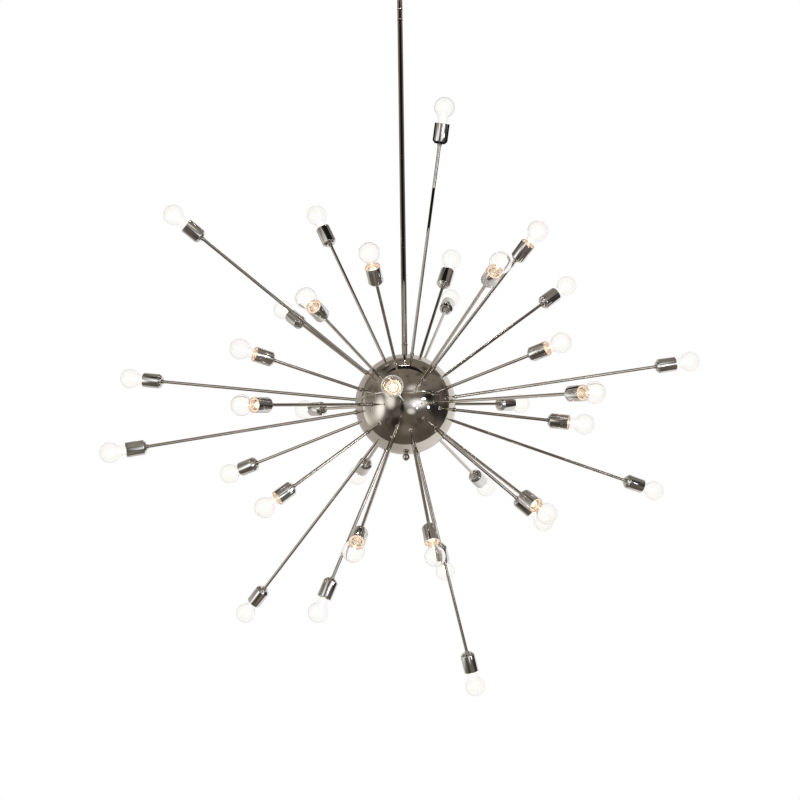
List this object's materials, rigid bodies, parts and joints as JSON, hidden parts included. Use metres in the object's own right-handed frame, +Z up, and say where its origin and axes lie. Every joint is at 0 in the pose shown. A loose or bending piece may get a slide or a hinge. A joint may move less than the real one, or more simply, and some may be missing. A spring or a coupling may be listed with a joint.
{
  "type": "sputnik chandelier",
  "caption": "Ceiling chandelier: a polished ball on a swivelling stem, with straight arms standing out of it in every direction, each ending in a cup and a clear bulb.",
  "frame": {"origin": "on the ceiling, in the middle of the crossbar's top face", "axes": "+Z up out of the crossbar towards the ceiling, -Y towards the pictured front, +X to the right as seen from the front"},
  "size_m": [1.7797, 1.5627, 2.512],
  "materials": {
    "ball_nickel": "mirror-polished nickel plate on spun metal",
    "rod_nickel": "polished nickel plate on steel tube",
    "stem_nickel": "polished nickel plate on steel tube, drawn lengthwise",
    "cup_nickel": "polished nickel plate, bright inside too",
    "fitting_nickel": "polished nickel plate on turned fittings",
    "canopy_nickel": "polished nickel plate on a spun pan",
    "zinc_steel": "bright zinc on steel",
    "green_screw": "green coated screw",
    "brass": "plain stamped brass",
    "porcelain": "white unglazed insulator",
    "bulb_glass": "clear blown glass",
    "stem_glass": "clear pressed glass",
    "bulb_base_metal": "rolled bright screw cap with a soldered tip",
    "hot_filament": "glowing tungsten wire"
  },
  "bodies": {
    "ceiling_fixing": {"crossbar": "zinc_steel", "ground_screw": "green_screw", "nipple": "zinc_steel", "nipple_lock_nut": "zinc_steel", "canopy": "canopy_nickel", "canopy_studs": "zinc_steel", "canopy_knobs": "fitting_nickel", "swivel_housing": "fitting_nickel", "swivel_retainer": "fitting_nickel"},
    "swivel": {"swivel_yoke": "fitting_nickel", "swivel_pin": "zinc_steel", "swivel_pin_clips": "zinc_steel"},
    "pendant": {"ball_neck": "stem_nickel", "bottom_ring_bulb_glass": "bulb_glass", "bottom_ring_cups": "cup_nickel", "bottom_ring_rods": "rod_nickel", "bottom_ring_sockets": "porcelain", "bulb_bases": "bulb_base_metal", "bulb_filaments": "hot_filament", "bulb_stems": "stem_glass", "coupler_nipple": "zinc_steel", "cup_necks": "fitting_nickel", "finial": "fitting_nickel", "lower_ring_bulb_glass": "bulb_glass", "lower_ring_cups": "cup_nickel", "lower_ring_rods": "rod_nickel", "lower_ring_sockets": "porcelain", "lower_shell": "ball_nickel", "lower_stem": "stem_nickel", "lower_waist_bulb_glass": "bulb_glass", "lower_waist_cups": "cup_nickel", "lower_waist_rods": "rod_nickel", "lower_waist_sockets": "porcelain", "rod_collars": "fitting_nickel", "rod_lock_nuts": "zinc_steel", "screw_shells": "brass", "seam_band": "zinc_steel", "socket_contacts": "brass", "stem_collar": "fitting_nickel", "stem_coupler": "fitting_nickel", "swivel_tongue": "fitting_nickel", "tie_rod": "zinc_steel", "tie_rod_nut": "zinc_steel", "top_ring_bulb_glass": "bulb_glass", "top_ring_cups": "cup_nickel", "top_ring_rods": "rod_nickel", "top_ring_sockets": "porcelain", "upper_ring_bulb_glass": "bulb_glass", "upper_ring_cups": "cup_nickel", "upper_ring_rods": "rod_nickel", "upper_ring_sockets": "porcelain", "upper_shell": "ball_nickel", "upper_stem": "stem_nickel", "upper_waist_bulb_glass": "bulb_glass", "upper_waist_cups": "cup_nickel", "upper_waist_rods": "rod_nickel", "upper_waist_sockets": "porcelain"}
  },
  "joints": [
    {"name": "swivel_turn", "type": "hinge", "parent": "ceiling_fixing", "child": "swivel", "pos_m": [0, 0, -0.0719], "axis": [0, 0, 1], "range_deg": [-165, 165]},
    {"name": "swivel_tilt", "type": "hinge", "parent": "swivel", "child": "pendant", "pos_m": [0, 0, -0.0719], "axis": [1, 0, 0], "range_deg": [-45, 45]}
  ]
}
